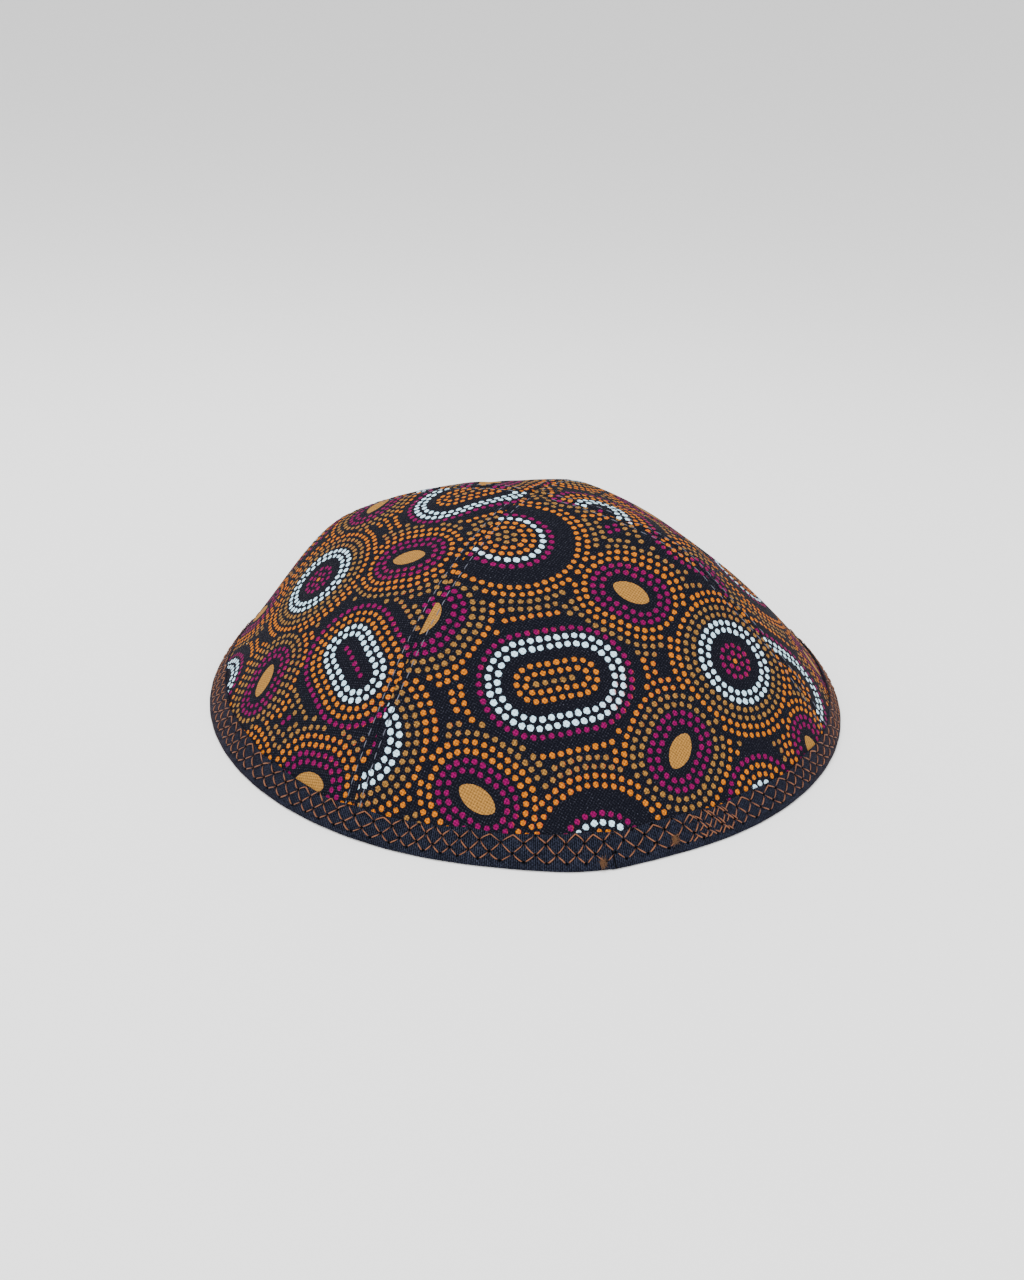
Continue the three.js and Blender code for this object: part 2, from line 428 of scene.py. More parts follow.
class PlaceGrid:
    """Places sorted into square cells, to tell quickly what lies near."""

    def __init__(self, cell):
        self.cell = cell
        self.cells = {}

    def add(self, x, y):
        self.cells.setdefault((int(x // self.cell), int(y // self.cell)), []).append((x, y))

    def is_clear(self, x, y, least):
        """Whether no place in the grid lies closer than a least distance."""
        column, row = int(x // self.cell), int(y // self.cell)
        for i in (-1, 0, 1):
            for j in (-1, 0, 1):
                for other_x, other_y in self.cells.get((column + i, row + j), ()):
                    if hypot(other_x - x, other_y - y) < least:
                        return False
        return True


def belongs(motif, rivals, x, y, past_border):
    """Whether a place is the motif's own, or little past its border, and clear of its rivals' leaves."""
    own = distance_to_core(motif, x, y) + motif["yields"]
    nearest = min(distance_to_core(other, x, y) + other["yields"] for other in rivals)
    if own > nearest + past_border:
        return False
    return not any(other["leaf"] and distance_to_core(other, x, y) < LEAF_CLEARANCE for other in rivals)


def print_dots(low, high, sizes):
    """Dots of the print inside a box of the cloth, as dictionaries of place, radius and ink."""
    placed = motifs_on_cloth(low, high)
    chance = random.Random(11)
    printed = PlaceGrid(DOT_CELL)
    dots = []
    for dot_pass in DOT_PASSES:
        for motif in placed:
            rivals = []
            for other in placed:
                apart = hypot(other["x"] - motif["x"], other["y"] - motif["y"])
                if other is not motif and apart < RIVAL_REACH:
                    rivals.append(other)
            for row, letter in enumerate(motif["rows"]):
                if letter == ".":
                    continue
                for x, y in dots_on_row(motif, row, chance):
                    if not (low[0] < x < high[0] and low[1] < y < high[1]):
                        continue
                    if not belongs(motif, rivals, x, y, dot_pass["past_border"]):
                        continue
                    if not printed.is_clear(x, y, dot_pass["least_gap"]):
                        continue
                    radius = sizes.dot_width / MM / 2 * chance.uniform(*DOT_SPREAD) * INKS[letter]["size"]
                    dots.append({"x": x, "y": y, "radius": radius, "letter": letter})
                    printed.add(x, y)
    return dots


def leaf_outline(motif):
    """Outline of the solid leaf on a motif's core, on the cloth."""
    outline = []
    for side in (1, -1):
        for i in range(LEAF_STEPS):
            share = i / LEAF_STEPS
            along = side * LEAF_HALF_LENGTH * cos(pi * share)
            across = side * LEAF_HALF_WIDTH * sin(pi * share) ** 1.25
            outline.append(off_core(motif, along, across))
    return outline


def from_cloth(places, cut):
    """Places on the cloth, in millimetres, moved to a panel's flat pattern in metres."""
    turn = radians(cut["turn"])
    x = np.array([place[0] for place in places]) - cut["x"]
    y = np.array([place[1] for place in places]) - cut["y"]
    return (x * cos(turn) + y * sin(turn)) * MM, (-x * sin(turn) + y * cos(turn)) * MM


def to_cloth(x, y, cut):
    """Places on a panel's flat pattern, in millimetres, moved to the cloth."""
    turn = radians(cut["turn"])
    return x * cos(turn) - y * sin(turn) + cut["x"], x * sin(turn) + y * cos(turn) + cut["y"]


def box_on_cloth(pattern, cut):
    """Box of the cloth that holds a panel's flat pattern, with a margin of 2 mm."""
    half_width = pattern.reach / MM * sin(PATTERN_TURN * PANEL_ANGLE / 2) + 2
    corners = [to_cloth(x, y, cut) for x in (-half_width, half_width) for y in (-2, pattern.reach / MM + 2)]
    xs, ys = zip(*corners)
    return (min(xs), min(ys)), (max(xs), max(ys))


def flat_place(azimuth, distance):
    """Place on the flat pattern at an azimuth from the panel's middle and a distance from its point."""
    turn = azimuth * PATTERN_TURN
    return distance * sin(turn), distance * cos(turn)


def seam_azimuth(pattern, distance, from_seam):
    """Azimuth from the panel's middle that lies a distance from the seam, at a distance from the point."""
    x, y = flat_place(PANEL_ANGLE / 2, distance)
    _, angle = pattern.lift(np.array([x]), np.array([y]))
    return PANEL_ANGLE / 2 - asin(min(from_seam / float(seam_radius(angle[0])), 0.9))


def panel_outline(pattern):
    """Outline of a panel's flat pattern: down one seam, along the lower edge and up the other seam."""
    first = POINT_BLUNTNESS
    last = pattern.edge_distance(PANEL_ANGLE / 2)
    count = int((last - first) / OUTLINE_STEP)
    seam = []
    for i in range(count + 1):
        distance = first + (last - first) * i / count
        seam.append((seam_azimuth(pattern, distance, SEAM_SLIT / 2), distance))
    turn_at_edge = seam[-1][0]
    edge = []
    for i in range(1, LOWER_EDGE_STEPS):
        azimuth = -turn_at_edge + 2 * turn_at_edge * i / LOWER_EDGE_STEPS
        edge.append((azimuth, float(pattern.edge_distance(azimuth))))
    outline = [(-azimuth, distance) for azimuth, distance in seam] + edge + seam[::-1]
    return [flat_place(azimuth, distance) for azimuth, distance in outline]


def panel_fill(pattern):
    """Places inside a panel that carry its curve, closer together beside the seams."""
    places = []
    last = float(pattern.edge_distance(PANEL_ANGLE / 2)) - 0.5 * MM
    for from_seam in FILL_FROM_SEAM:
        distance = FILL_FIRST_AT_SEAM + from_seam * MM
        while distance < last:
            azimuth = seam_azimuth(pattern, distance, from_seam * MM)
            if azimuth > FILL_LEAST_AZIMUTH:
                places.append(flat_place(azimuth, distance))
                places.append(flat_place(-azimuth, distance))
            distance += FILL_STEP_AT_SEAM
    row = 0
    distance = FILL_START
    while distance < pattern.reach:
        widest = seam_azimuth(pattern, distance, FILL_PAST_SEAM) * PATTERN_TURN
        count = int(2 * widest * distance / FILL_STEP)
        for i in range(count + 1):
            turn = -widest + (i + 0.5 * (row % 2)) * 2 * widest / max(count, 1)
            last = float(pattern.edge_distance(turn / PATTERN_TURN)) - 1 * MM
            if abs(turn) <= widest and distance < last:
                places.append((distance * sin(turn), distance * cos(turn)))
        row += 1
        distance += FILL_STEP
    return places


def cut_panel(pattern, cut, sizes):
    """Triangles of a panel on its flat pattern, cut round each dot and leaf of the print."""
    low, high = box_on_cloth(pattern, cut)
    dots = print_dots(low, high, sizes)
    leaves = [leaf_outline(motif) for motif in motifs_on_cloth(low, high) if motif["leaf"]]
    dot_x, dot_y = from_cloth([(dot["x"], dot["y"]) for dot in dots], cut)
    outline = panel_outline(pattern)
    places = list(outline)
    edges = [(i, (i + 1) % len(outline)) for i in range(len(outline))]
    loops = []
    marks = []
    dotted = PlaceGrid(SEARCH_CELL)
    for dot, x, y in zip(dots, dot_x, dot_y):
        if not pattern.holds(x, y, DOT_MARGIN):
            continue
        corner = min(DOT_HEXAGON["radii"] * dot["radius"], DOT_HEXAGON["most"]) * MM
        turn = 3 * dot["x"] + dot["y"]
        loops.append(list(range(len(places), len(places) + 6)))
        for i in range(6):
            angle = turn + i * tau / 6
            places.append((x + corner * cos(angle), y + corner * sin(angle)))
        ink = INKS[dot["letter"]]
        radius = dot["radius"] * MM
        marks.append({"x": x, "y": y, "radius": radius, "ink": ink["name"], "grain": ink["grain"]})
        dotted.add(x, y)
    for outline_on_cloth in leaves:
        xs, ys = from_cloth(outline_on_cloth, cut)
        if not pattern.holds(float(xs.mean()), float(ys.mean()), LEAF_MARGIN):
            continue
        loops.append(list(range(len(places), len(places) + len(xs))))
        places += [(float(x), float(y)) for x, y in zip(xs, ys)]
        marks.append({"x": 0.0, "y": 0.0, "radius": None, "ink": "tan", "grain": 0.0})

    for x, y in panel_fill(pattern):
        if dotted.is_clear(x, y, DOT_CLEARANCE):
            places.append((x, y))
    vectors = [Vector((x * PER_METRE, y * PER_METRE)) for x, y in places]
    flat, _, faces, _, _, owners = delaunay_2d_cdt(vectors, edges, loops, 1, 1e-4)
    flat = np.array([(v.x, v.y) for v in flat]) * MM
    kept = []
    kept_marks = []
    for face, owner in zip(faces, owners):
        x, y = flat[list(face)].mean(axis=0)
        if pattern.holds(x, y, -EDGE_SLACK):
            kept.append(face)
            kept_marks.append(marks[owner[0]] if owner else None)
    return flat, kept, kept_marks


def unevenness(azimuth, distance):
    """Gentle hills and hollows of soft cloth, in metres outwards."""
    along = distance / MM
    total = 0
    for wave in CLOTH_WAVES:
        phase = wave["turns"] * azimuth + along / wave["length"] + wave["phase"]
        total = total + wave["share"] * np.sin(phase)
    return CLOTH_WAVE * total


def cloth_offset(azimuth, from_middle, distance, radius, outside):
    """How far the outer or inner face of the cloth lies from the crown's form."""
    from_seam = (PANEL_ANGLE / 2 - np.abs(from_middle)) * radius
    side = np.sign(from_middle)
    fold = np.exp(-((from_seam / SEAM_FOLD_REACH) ** 2))
    allowance = 1 / (1 + np.exp((from_seam - SEAM_ALLOWANCE) / ALLOWANCE_STEP))
    allowance = allowance * np.clip((distance - ALLOWANCE_START) / SEAM_ALLOWANCE, 0, 1)
    row = ROW_PRESSED * np.exp(-(((from_seam - ROW_FROM_SEAM) / ROW_WIDTH) ** 2))
    turns = distance / MM * tau
    long_wave = np.sin(turns / PUCKER_LENGTHS[0] + 2 * side)
    short_wave = np.sin(turns / PUCKER_LENGTHS[1] + side)
    pucker = (long_wave + 0.7 * short_wave) * np.exp(-from_seam / PUCKER_REACH) * (1 - fold)
    common = unevenness(azimuth, distance) + PUCKER * pucker
    if outside:
        return CLOTH_PROUD + common + ALLOWANCE_SHOWN * allowance - row - SEAM_FOLD_DEPTH * fold
    return CLOTH_PROUD - CLOTH_WALL + common - ALLOWANCE_RISE * allowance + row


def mesh_piece(name, points, faces):
    """A new object with its place in its mesh."""
    mesh = bpy.data.meshes.new(name)
    mesh.from_pydata([tuple(point) for point in points], [], [tuple(face) for face in faces])
    mesh.update()
    mesh.polygons.foreach_set("use_smooth", np.ones(len(mesh.polygons), dtype=bool))
    piece = bpy.data.objects.new(name, mesh)
    bpy.context.scene.collection.objects.link(piece)
    return piece


def corner_vertices(mesh):
    """Number of the vertex at each face corner."""
    numbers = np.empty(len(mesh.loops), dtype=np.int32)
    mesh.loops.foreach_get("vertex_index", numbers)
    return numbers


def set_corner_values(mesh, name, kind, values):
    """Fill a UV map or a colour attribute, with a row of values for each face corner."""
    if kind == "uv":
        layer = mesh.uv_layers.new(name=name)
        layer.uv.foreach_set("vector", np.ascontiguousarray(values, dtype=np.float32).ravel())
    else:
        layer = mesh.color_attributes.new(name=name, type="FLOAT_COLOR", domain="CORNER")
        layer.data.foreach_set("color", np.ascontiguousarray(values, dtype=np.float32).ravel())


def close_cloth(name, outer, inner, faces):
    """A closed wall of cloth between its outer face, cut into triangles, and its inner face."""
    corners = np.array(faces)
    one, two, three = (outer[corners[:, i]] for i in range(3))
    facing = np.einsum("ij,ij->i", np.cross(two - one, three - one), (one + two + three))
    if facing.sum() < 0:
        faces = [face[::-1] for face in faces]
    edges = {edge: None for a, b, c in faces for edge in ((a, b), (b, c), (c, a))}
    count = len(outer)
    wall = [(b, a, a + count, b + count) for a, b in edges if (b, a) not in edges]
    reverse = [tuple(i + count for i in face[::-1]) for face in faces]
    return mesh_piece(name, np.concatenate((outer, inner)), faces + reverse + wall)


def print_panel(mesh, marks, flat_corner, colours):
    """Fill in each corner's place on its dot, the ink's colour, how deep its grain goes and its luck."""
    inks = {ink["name"]: (*getattr(colours, ink["name"]), 1) for ink in INKS.values()}
    local = np.full((len(mesh.loops), 2), NO_DOT)
    grain = np.zeros((len(mesh.loops), 2))
    ink = np.zeros((len(mesh.loops), 4))
    ink[:, 3] = 1
    for start, mark in enumerate(marks + marks):
        if mark is None:
            continue
        rows = slice(3 * start, 3 * start + 3)
        ink[rows] = inks[mark["ink"]]
        luck = 9000 * (mark["x"] + 2 * mark["y"]) % 1
        grain[rows] = (mark["grain"], luck)
        if mark["radius"] is None:
            local[rows] = 0
        else:
            local[rows] = (flat_corner[rows] - (mark["x"], mark["y"])) / mark["radius"]
    set_corner_values(mesh, "dot_place", "uv", local)
    set_corner_values(mesh, "dot_grain", "uv", grain)
    set_corner_values(mesh, "ink", "colour", ink)


def sew_panel(side, colours, sizes):
    """One printed panel as a closed wall of cloth, with its print and flat pattern as attributes."""
    middle = PANEL_SIDES.index(side) * PANEL_ANGLE
    pattern = PanelPattern(middle)
    flat, faces, marks = cut_panel(pattern, PANEL_CUTS[side], sizes)
    from_middle, angle = pattern.lift(flat[:, 0], flat[:, 1])
    azimuth = middle + from_middle
    distance = np.hypot(flat[:, 0], flat[:, 1])
    radius = seam_radius(angle)
    outer = crown_points(azimuth, angle, cloth_offset(azimuth, from_middle, distance, radius, True))
    inner = crown_points(azimuth, angle, cloth_offset(azimuth, from_middle, distance, radius, False))
    used = np.unique(np.array(faces).ravel())
    number = -np.ones(len(flat), dtype=int)
    number[used] = np.arange(len(used))
    outer, inner, flat = outer[used], inner[used], flat[used]
    faces = [tuple(number[list(face)].tolist()) for face in faces]
    piece = close_cloth(f"printed_panel_{side}", outer, inner, faces)

    mesh = piece.data
    flat_both = np.concatenate((flat, flat))
    on_cloth = to_cloth(flat_both[:, 0] / MM, flat_both[:, 1] / MM, PANEL_CUTS[side])
    loop_vertices = corner_vertices(mesh)
    set_corner_values(mesh, "cloth_mm", "uv", np.stack(on_cloth, axis=1)[loop_vertices])
    from_seam = (PANEL_ANGLE / 2 - np.abs(from_middle)) * radius
    seam_place = np.tile(np.stack((from_seam, distance), axis=1)[used] / MM, (2, 1))
    set_corner_values(mesh, "seam_mm", "uv", seam_place[loop_vertices])

    print_panel(mesh, marks, flat_both[loop_vertices], colours)
    for face_up in (True, False):
        mesh.materials.append(printed_cotton(colours, face_up))
    slots = np.zeros(len(mesh.polygons), dtype=np.int32)
    slots[len(faces):] = 1
    mesh.polygons.foreach_set("material_index", slots)
    bpy.ops.object.select_all(action="DESELECT")
    piece.select_set(True)
    bpy.context.view_layer.objects.active = piece
    bpy.ops.object.shade_smooth_by_angle(angle=radians(50))
    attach(piece, "root")
    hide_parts(f"crown_panel_{side}")
    return piece


# Materials

def new_material(name, roughness, sheen=0.0, sheen_tint=(1, 1, 1)):
    """A named material with its shader, ready for its nodes."""
    material = bpy.data.materials.new(name)
    material.use_nodes = True
    shader = material.node_tree.nodes["Principled BSDF"]
    settings = {
        "Roughness": roughness,
        "Sheen Weight": sheen,
        "Sheen Roughness": 0.25,
        "Sheen Tint": (*sheen_tint, 1),
        "Specular IOR Level": 0.03,
    }
    for name_of_input, value in settings.items():
        shader.inputs[name_of_input].default_value = value
    return material, shader


class Nodes:
    """Short ways to add and join the nodes of one material."""

    def __init__(self, material):
        self.tree = material.node_tree

    def add(self, kind, **settings):
        node = self.tree.nodes.new(kind)
        for name, value in settings.items():
            setattr(node, name, value)
        return node

    def fill(self, node, values):
        for socket, value in values.items():
            if hasattr(value, "is_output"):
                self.tree.links.new(value, node.inputs[socket])
            else:
                node.inputs[socket].default_value = value

    def uv(self, name):
        return self.add("ShaderNodeUVMap", uv_map=name).outputs["UV"]

    def math(self, operation, one, two=0.0, clamp=False):
        node = self.add("ShaderNodeMath", operation=operation, use_clamp=clamp)
        self.fill(node, {0: one, 1: two})
        return node.outputs[0]

    def times(self, one, two):
        return self.math("MULTIPLY", one, two)

    def plus(self, one, two, clamp=False):
        return self.math("ADD", one, two, clamp)

    def minus(self, one, two):
        return self.math("SUBTRACT", one, two)

    def split(self, vector):
        node = self.add("ShaderNodeSeparateXYZ")
        self.fill(node, {0: vector})
        return node.outputs["X"], node.outputs["Y"]

    def noise(self, vector, scale, detail=2.0, roughness=0.5):
        node = self.add("ShaderNodeTexNoise")
        self.fill(node, {"Vector": vector, "Scale": scale, "Detail": detail, "Roughness": roughness})
        return node.outputs["Fac"]

    def remap(self, value, from_low, from_high, to_low, to_high):
        node = self.add("ShaderNodeMapRange")
        self.fill(node, {0: value, 1: from_low, 2: from_high, 3: to_low, 4: to_high})
        return node.outputs[0]

    def mix(self, share, one, two, blend="MIX"):
        node = self.add("ShaderNodeMix", data_type="RGBA", blend_type=blend)
        self.fill(node, {0: share, 6: one, 7: two})
        return node.outputs[2]

    def bump(self, height, strength, distance):
        node = self.add("ShaderNodeBump")
        self.fill(node, {"Strength": strength, "Distance": distance, "Height": height})
        return node.outputs["Normal"]


def plain_weave(nodes, uv, warp, weft):
    """Height of a plain weave and which thread is on top, from a map and two spacings in millimetres."""
    x, y = nodes.split(uv)
    across = nodes.math("SINE", nodes.times(x, pi / warp))
    down = nodes.math("SINE", nodes.times(y, pi / weft))
    crossing = nodes.times(across, down)
    return nodes.math("ABSOLUTE", crossing), crossing


def dot_gaps(nodes, uv, from_dot):
    """Where a dot's ink misses the valleys of the weave: in its heart and in bites out of its edge."""
    depth, luck = nodes.split(nodes.uv("dot_grain"))
    missed = nodes.remap(nodes.noise(uv, 2.7, 1.0), 0.49, 0.62, 0.0, 0.95)
    bites = nodes.times(missed, nodes.remap(from_dot, 0.15, 0.65, 0.35, 1.0))
    heart = nodes.times(nodes.remap(from_dot, 0.08, 0.42, 0.95, 0.0), luck)
    return nodes.times(nodes.math("MAXIMUM", heart, bites), depth)


def allowance_nodes(nodes, uv):
    """Where the seam allowance covers a panel's back, and the shadows at the seam and the raw edge."""
    from_seam, _ = nodes.split(nodes.uv("seam_mm"))
    frayed = nodes.plus(from_seam, nodes.remap(nodes.noise(uv, 1.3, 3.0), 0.3, 0.7, -0.2, 0.2))
    width = SEAM_ALLOWANCE / MM
    covered = nodes.remap(frayed, width + 0.1, width - 0.1, 0.0, 1.0)
    from_edge = nodes.math("ABSOLUTE", nodes.minus(frayed, width + 0.25))
    raw_edge = nodes.remap(from_edge, 0.1, 0.4, 0.75, 0.0)
    seam = nodes.remap(from_seam, 0.15, 0.55, 0.9, 0.0)
    return covered, nodes.math("MAXIMUM", raw_edge, seam)


def cotton_nodes(material, shader, colours, faded, fade_share):
    """Printed cotton: ground, inked dots with rough edges, the weave's painted light and shade, and light
    specks of fibre and painted highlight.
    """
    nodes = Nodes(material)
    ground = (*colours.ground, 1)
    thread = colours.cotton_thread / MM
    uv = nodes.uv("cloth_mm")
    place = nodes.uv("dot_place")
    ink = nodes.add("ShaderNodeVertexColor", layer_name="ink").outputs["Color"]
    length_node = nodes.add("ShaderNodeVectorMath", operation="LENGTH")
    nodes.fill(length_node, {0: place})
    from_dot = length_node.outputs["Value"]
    across_dot, _ = nodes.split(place)
    height, crossing = plain_weave(nodes, uv, thread, thread)

    gaps = dot_gaps(nodes, uv, from_dot)
    rough_edge = nodes.times(nodes.minus(nodes.noise(uv, 1.7, 3.0), 0.5), 0.8)
    inked = nodes.remap(nodes.plus(from_dot, rough_edge), 1.05, 0.88, 0.0, 1.0)
    slipped = nodes.remap(nodes.noise(uv, 0.045, 1.0), 0.53, 0.64, 0.0, 0.8)
    slip = nodes.times(nodes.remap(across_dot, 0.35, 0.8, 0.0, 1.0), slipped)
    slip = nodes.times(slip, nodes.remap(from_dot, 1.5, 1.2, 0.0, 1.0))
    overprinted = nodes.mix(slip, ink, OVERPRINT)
    blotches = nodes.remap(nodes.noise(uv, 2.2, 2.0, 0.6), 0.32, 0.68, 0.75, 1.22)
    toned = nodes.mix(1.0, overprinted, blotches, "MULTIPLY")
    gapped = nodes.mix(gaps, toned, nodes.mix(0.22, ground, ink))

    # light specks: fibres in the ground, and a painted highlight on the threads that lie on top at the
    # weave's crossings
    fibre_and_highlight_patches = nodes.remap(nodes.noise(uv, 2.5, 3.0, 0.7), 0.51, 0.72, 0.0, 1.0)
    specks = nodes.times(nodes.remap(crossing, -0.3, 1.0, 0.1, 1.0), fibre_and_highlight_patches)
    earth = nodes.mix(specks, ground, (*colours.speck, 1))
    printed = nodes.mix(inked, earth, gapped)
    shade = nodes.remap(crossing, -1.0, 1.0, 0.55, 1.4)
    woven = nodes.mix(1.0, printed, shade, "MULTIPLY")
    if fade_share:
        covered, shadow = allowance_nodes(nodes, uv)
        woven = nodes.mix(nodes.remap(covered, 0.0, 1.0, fade_share, 0.0), woven, faded)
        woven = nodes.mix(shadow, woven, SEAM_SHADOW)
    nodes.fill(shader, {"Base Color": woven, "Normal": nodes.bump(height, 0.5, WEAVE_DEPTH)})


def printed_cotton(colours, face_up):
    """Printed cotton, seen on its face or on its back, where the inks show through paler."""
    name = "printed_cotton_face" if face_up else "printed_cotton_reverse"
    material = bpy.data.materials.get(name)
    if material is None and face_up:
        material, shader = new_material(name, 0.88, 0.035, (0.75, 0.6, 0.62))
        cotton_nodes(material, shader, colours, None, 0)
    elif material is None:
        material, shader = new_material(name, 0.92, 0.15, (0.8, 0.78, 0.76))
        cotton_nodes(material, shader, colours, (*colours.reverse, 1), 0.55)
    return material


def needle_hole_shade(nodes, uv):
    """Painted shade in the needle holes: on a map in half pitches and rows, every second crossing is a
    hole.
    """
    phase, row = nodes.split(uv)
    one = nodes.times(nodes.plus(phase, row), 0.5)
    two = nodes.times(nodes.minus(phase, row), 0.5)
    one = nodes.minus(one, nodes.math("ROUND", one))
    two = nodes.minus(two, nodes.math("ROUND", two))
    along = nodes.times(nodes.plus(one, two), HALF_PITCH_MM)
    down = nodes.times(nodes.minus(one, two), ROW_SLANT_MM)
    square = nodes.plus(nodes.math("POWER", along, 2.0), nodes.math("POWER", down, 2.0))
    near = nodes.remap(nodes.math("SQRT", square), 0.24, 0.42, 1.0, 0.0)
    on_rows = nodes.remap(nodes.math("ABSOLUTE", nodes.minus(row, 1.5)), 1.7, 1.8, 1.0, 0.0)
    return nodes.times(near, on_rows)


def woven_tape(colours):
    """Dark ribbed tape of light warp and dark weft, with a painted highlight on its high threads, painted
    shade in its grooves and needle holes, and painted shade along the fold of its cut end.
    """
    material, shader = new_material("woven_tape", 0.9, 0.09, (1.0, 0.55, 0.42))
    nodes = Nodes(material)
    uv = nodes.uv("tape_mm")
    x, y = nodes.split(uv)
    height, crossing = plain_weave(nodes, uv, TAPE_RIB, TAPE_WEFT)
    # painted light and shade: lighter on the ribs' crests, darker in the grooves between them
    rib = nodes.math("SINE", nodes.times(x, tau / TAPE_RIB))
    lit = nodes.plus(nodes.times(rib, 0.5), nodes.times(crossing, 0.35))
    flecks = nodes.remap(nodes.noise(uv, 1.6, 3.0, 0.7), 0.3, 0.7, -0.55, 0.55)
    lit = nodes.plus(lit, flecks)
    # painted shade in the needle holes
    hole = needle_hole_shade(nodes, nodes.uv("needle_rows"))
    # painted shade in the crease where the tape's cut end lies over it, on the tape's lower part
    from_end = nodes.minus(nodes.minus(x, TAPE_END_ALONG), nodes.times(y, 0.12))
    painted_join_shade = nodes.remap(nodes.math("ABSOLUTE", from_end), 0.1, 0.32, 0.9, 0.0)
    painted_join_shade = nodes.times(painted_join_shade, nodes.remap(y, 2.6, 3.4, 0.0, 1.0))
    patches = nodes.remap(nodes.noise(uv, 0.22, 4.0, 0.6), 0.3, 0.7, 0.75, 1.25)
    shown = nodes.remap(lit, -0.4, 1.1, 0.0, 1.0)
    tinted = nodes.mix(shown, (*colours.tape_dark, 1), (*colours.tape_light, 1))
    toned = nodes.mix(1.0, tinted, patches, "MULTIPLY")
    # the needle holes and the join's crease are painted dark as shade
    holed = nodes.mix(nodes.math("MAXIMUM", hole, painted_join_shade), toned, HOLE_SHADOW)
    nodes.fill(shader, {"Base Color": holed, "Normal": nodes.bump(height, 0.5, WEAVE_DEPTH)})
    return material


def thread_material(name, light, dark, roughness):
    """Sewing thread of two plies, with a painted highlight on its top and painted shade where it dips into
    its holes.
    """
    material, shader = new_material(name, roughness, 0.04)
    shader.inputs["Specular IOR Level"].default_value = 0.22
    nodes = Nodes(material)
    twist, height = nodes.split(nodes.uv("thread"))
    share, tone = nodes.split(nodes.uv("share_and_tone"))
    ply = nodes.math("SINE", nodes.times(twist, tau))
    # painted highlight: lighter towards the thread's top, where the light falls
    painted_top_highlight = nodes.remap(height, 0.0, 0.87, 0.0, 0.45)
    # ply bands along the twist are a painted highlight that goes with the ply bump; each stitch also has
    # its own tone
    tint = nodes.plus(nodes.remap(ply, -1.0, 1.0, -0.1, 0.25), nodes.times(tone, 0.3))
    tint = nodes.plus(tint, painted_top_highlight, True)
    lit = nodes.mix(tint, (*dark, 1), (*light, 1))
    # painted shade: darker towards both ends, where the stitch dips into its holes
    from_middle = nodes.math("ABSOLUTE", nodes.minus(nodes.times(share, 2.0), 1.0))
    painted_end_shade = nodes.remap(from_middle, 0.5, 1.0, 0.0, 0.85)
    shaded = nodes.mix(painted_end_shade, lit, tuple(value * 0.18 for value in dark) + (1,))
    nodes.fill(shader, {"Base Color": shaded, "Normal": nodes.bump(ply, 0.6, PLY_DEPTH)})
    return material


# The tape

def station_azimuths():
    """Azimuths of the half pitches of the lattice, slightly uneven, as sewing is."""
    lattice = bpy.context.scene.skullcap_stitches
    count = 2 * lattice.repeats
    chance = random.Random(5)
    step = tau / count
    azimuths = []
    for i in range(count):
        wander = STATION_DRIFT * chance.uniform(-1, 1)
        for wave in STATION_WAVES:
            wander += wave["share"] * sin(i * tau * wave["turns"] / count + wave["phase"])
        azimuths.append((i + wander) * step)
    return azimuths


def tape_edge_waver(azimuth):
    """How far the tape's upper edge strays, in metres."""
    total = 0
    for wave in EDGE_WAVES:
        total = total + wave["height"] * np.sin(azimuth * wave["turns"] + wave["phase"])
    return total


def tape_section():
    """Section of the folded tape: down the outside, round the fold, up the inside and back within."""
    section = []
    rows = int(round((TAPE_TOP_OUTSIDE - NEEDLE_ROWS[-1]) / TAPE_ROW_STEP)) + 3
    section.append({"height": TAPE_TOP_OUTSIDE + EDGE_RISE["outside"], "offset": TAPE_EDGE, "part": "edge"})
    for row in range(rows):
        height = TAPE_TOP_OUTSIDE - row * TAPE_ROW_STEP
        section.append({"height": height, "offset": TAPE_FACE, "part": "face"})
    middle = (TAPE_FACE + TAPE_INNER_FACE) / 2
    half = (TAPE_FACE - TAPE_INNER_FACE) / 2
    fold_height = section[-1]["height"]
    for i in range(1, TAPE_FOLD_STEPS):
        angle = pi * i / TAPE_FOLD_STEPS
        height = fold_height * (1 - sin(angle) ** 0.8)
        section.append({"height": height, "offset": middle + half * cos(angle), "part": "fold"})
    for row in range(TAPE_INNER_ROWS):
        height = fold_height + (TAPE_TOP_INSIDE - fold_height) * row / (TAPE_INNER_ROWS - 1)
        section.append({"height": height, "offset": TAPE_INNER_FACE, "part": "inner"})
    section.append({"height": TAPE_TOP_INSIDE + EDGE_RISE["inside"], "offset": -TAPE_EDGE, "part": "edge"})
    inner_corner = (TAPE_LINING_FOLD, TAPE_INNER_LINING + TAPE_LINING_ROUND)
    outer_corner = (TAPE_LINING_FOLD, TAPE_LINING - TAPE_LINING_ROUND)
    within = [(height, TAPE_INNER_LINING) for height in (TAPE_TOP_INSIDE, *TAPE_LINING_HEIGHTS)]
    within += [inner_corner, outer_corner]
    within += [(height, TAPE_LINING) for height in (*TAPE_LINING_HEIGHTS[::-1], TAPE_TOP_OUTSIDE)]
    for height, offset in within:
        section.append({"height": height, "offset": offset, "part": "lining"})
    return section


def needle_row_at(place):
    """Which needle row a place on the section lies on, with a fraction; 9 where there is none."""
    if place["part"] not in ("face", "inner"):
        return 9.0
    height = place["height"] + (0.0 if place["part"] == "face" else INSIDE_STITCH_DROP)
    row = 0
    while row < len(NEEDLE_ROWS) - 2 and height < NEEDLE_ROWS[row + 1]:
        row += 1
    return row + (NEEDLE_ROWS[row] - height) / (NEEDLE_ROWS[row] - NEEDLE_ROWS[row + 1])


def needle_row_phase(row):
    """Whether a needle row's holes lie on the whole pitches (0) or between them (1)."""
    return row % 2


